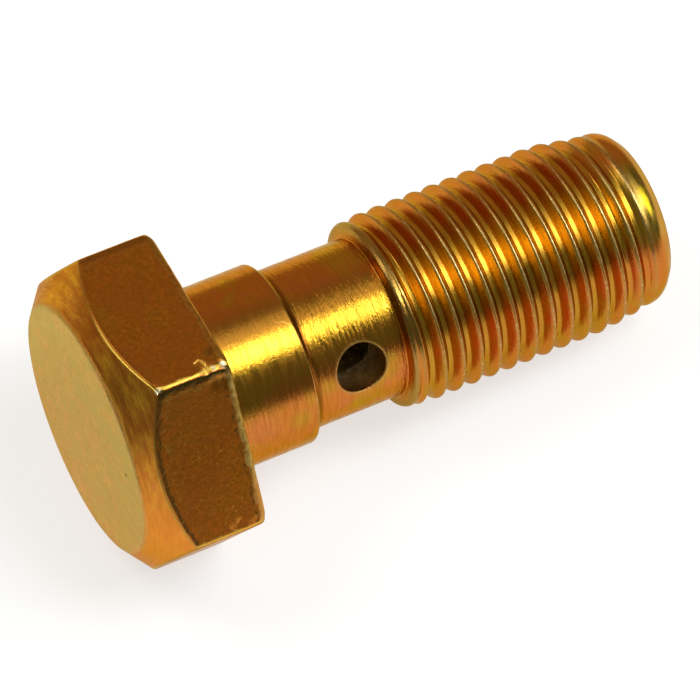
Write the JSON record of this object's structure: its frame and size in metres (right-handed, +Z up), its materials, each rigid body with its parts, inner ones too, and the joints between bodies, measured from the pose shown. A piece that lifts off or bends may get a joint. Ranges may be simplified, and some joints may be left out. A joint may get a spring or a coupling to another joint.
{
  "type": "banjo bolt",
  "caption": "Hollow hex-head bolt that clamps a banjo fitting to a threaded port and lets fluid pass through its bore and the hole drilled across its neck.",
  "frame": {"origin": "on the ground, under the centre of the bounding box of the lying bolt", "axes": "+X from the head to the tip along the bolt in plan, +Z up, +Y to the left of the bolt seen from its head. The bolt lies at rest on one flat's edge of its head and on the end of its thread, so its axis dips by 6.06 degrees from the head to the tip."},
  "size_m": [0.0311, 0.0172, 0.0153],
  "materials": {
    "yellow_zinc_plated_steel": "yellow iridescent zinc plating, semi-bright"
  },
  "bodies": {
    "root": {"banjo_bolt": "yellow_zinc_plated_steel"}
  },
  "joints": []
}
